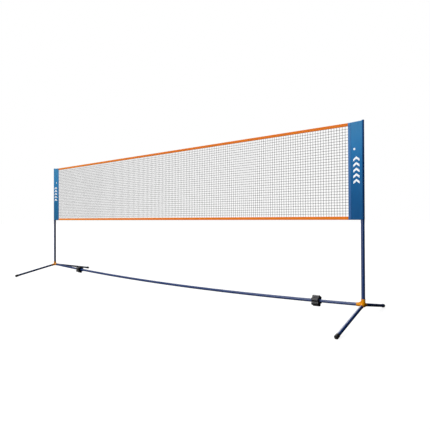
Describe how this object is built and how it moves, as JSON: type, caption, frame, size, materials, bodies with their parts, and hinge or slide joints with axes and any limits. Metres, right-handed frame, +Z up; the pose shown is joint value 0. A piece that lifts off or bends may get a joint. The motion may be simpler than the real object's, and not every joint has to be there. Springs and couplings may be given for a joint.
{
  "type": "portable badminton net",
  "caption": "Free-standing badminton net: fabric net with end sleeves on two plug-in posts, joined by a bowed telescoping floor bar, with splayed push-in legs and corner connectors.",
  "frame": {"origin": "on the floor, midway between the two posts and between the front and back feet", "axes": "+X along the net towards the end whose twist lock is further from the middle, +Y across the net towards the back, +Z up"},
  "size_m": [4.533, 1.1578, 1.553],
  "materials": {
    "tube": "gloss",
    "connector": "satin",
    "knob": "satin",
    "foot": "matte",
    "post_cap": "matte",
    "collet": "satin",
    "ferrule": "satin",
    "spring": "satin",
    "button": "polished",
    "sleeve": "satin",
    "tape": "satin",
    "cord": "matte",
    "netting": "matte"
  },
  "bodies": {
    "frame": {"crossbar_centre": "tube", "right_corner_connector": "connector", "right_lower_post": "tube", "right_crossbar_end": "tube", "right_crossbar_middle": "tube", "right_crossbar_ferrule": "ferrule", "right_lock_collet": "collet", "right_middle_button_spring": "spring", "right_socket_button_spring": "spring", "left_corner_connector": "connector", "left_lower_post": "tube", "left_crossbar_end": "tube", "left_crossbar_middle": "tube", "left_crossbar_ferrule": "ferrule", "left_lock_collet": "collet", "left_middle_button_spring": "spring", "left_socket_button_spring": "spring"},
    "net": {"top_tape": "tape", "bottom_tape": "tape", "top_cord": "cord", "bottom_cord": "cord", "netting": "netting", "right_upper_post": "tube", "right_post_cap": "post_cap", "right_sleeve": "sleeve", "left_upper_post": "tube", "left_post_cap": "post_cap", "left_sleeve": "sleeve"},
    "right_lock": {"right_lock_knob": "knob", "right_lock_knob_cap": "knob"},
    "right_middle_snap": {"right_middle_button": "button"},
    "right_socket_snap": {"right_socket_button": "button"},
    "right_front_foot_leg": {"right_front_leg": "tube", "right_front_foot": "foot"},
    "right_back_foot_leg": {"right_back_leg": "tube", "right_back_foot": "foot"},
    "left_lock": {"left_lock_knob": "knob", "left_lock_knob_cap": "knob"},
    "left_middle_snap": {"left_middle_button": "button"},
    "left_socket_snap": {"left_socket_button": "button"},
    "left_front_foot_leg": {"left_front_leg": "tube", "left_front_foot": "foot"},
    "left_back_foot_leg": {"left_back_leg": "tube", "left_back_foot": "foot"}
  },
  "joints": [
    {"name": "net_lift", "type": "slide", "parent": "frame", "child": "net", "axis": [0, 0, 1], "range_m": [0, 0.075]},
    {"name": "right_lock_turn", "type": "hinge", "parent": "frame", "child": "right_lock", "pos_m": [1.8685, 0, 0.10792], "axis": [0.9992, 0, 0.0406], "range_deg": [0, 180]},
    {"name": "right_middle_button_press", "type": "slide", "parent": "frame", "child": "right_middle_snap", "axis": [0, -1, 0], "range_m": [0, 0.0046], "stiffness_N_per_m": 1500, "springref_m": -0.001, "deforming": ["right_middle_button_spring"]},
    {"name": "right_socket_button_press", "type": "slide", "parent": "frame", "child": "right_socket_snap", "axis": [0, -1, 0], "range_m": [0, 0.0046], "stiffness_N_per_m": 1500, "springref_m": -0.001, "deforming": ["right_socket_button_spring"]},
    {"name": "right_front_leg_pull", "type": "slide", "parent": "frame", "child": "right_front_foot_leg", "axis": [0, -0.9816, -0.1908], "range_m": [0, 0.04]},
    {"name": "right_back_leg_pull", "type": "slide", "parent": "frame", "child": "right_back_foot_leg", "axis": [0, 0.9816, -0.1908], "range_m": [0, 0.04]},
    {"name": "left_lock_turn", "type": "hinge", "parent": "frame", "child": "left_lock", "pos_m": [-1.5975, 0, 0.09772], "axis": [-0.9994, 0, 0.0347], "range_deg": [0, 180]},
    {"name": "left_middle_button_press", "type": "slide", "parent": "frame", "child": "left_middle_snap", "axis": [0, -1, 0], "range_m": [0, 0.0046], "stiffness_N_per_m": 1500, "springref_m": -0.001, "deforming": ["left_middle_button_spring"]},
    {"name": "left_socket_button_press", "type": "slide", "parent": "frame", "child": "left_socket_snap", "axis": [0, -1, 0], "range_m": [0, 0.0046], "stiffness_N_per_m": 1500, "springref_m": -0.001, "deforming": ["left_socket_button_spring"]},
    {"name": "left_front_leg_pull", "type": "slide", "parent": "frame", "child": "left_front_foot_leg", "axis": [0, -0.9816, -0.1908], "range_m": [0, 0.04]},
    {"name": "left_back_leg_pull", "type": "slide", "parent": "frame", "child": "left_back_foot_leg", "axis": [0, 0.9816, -0.1908], "range_m": [0, 0.04]}
  ]
}
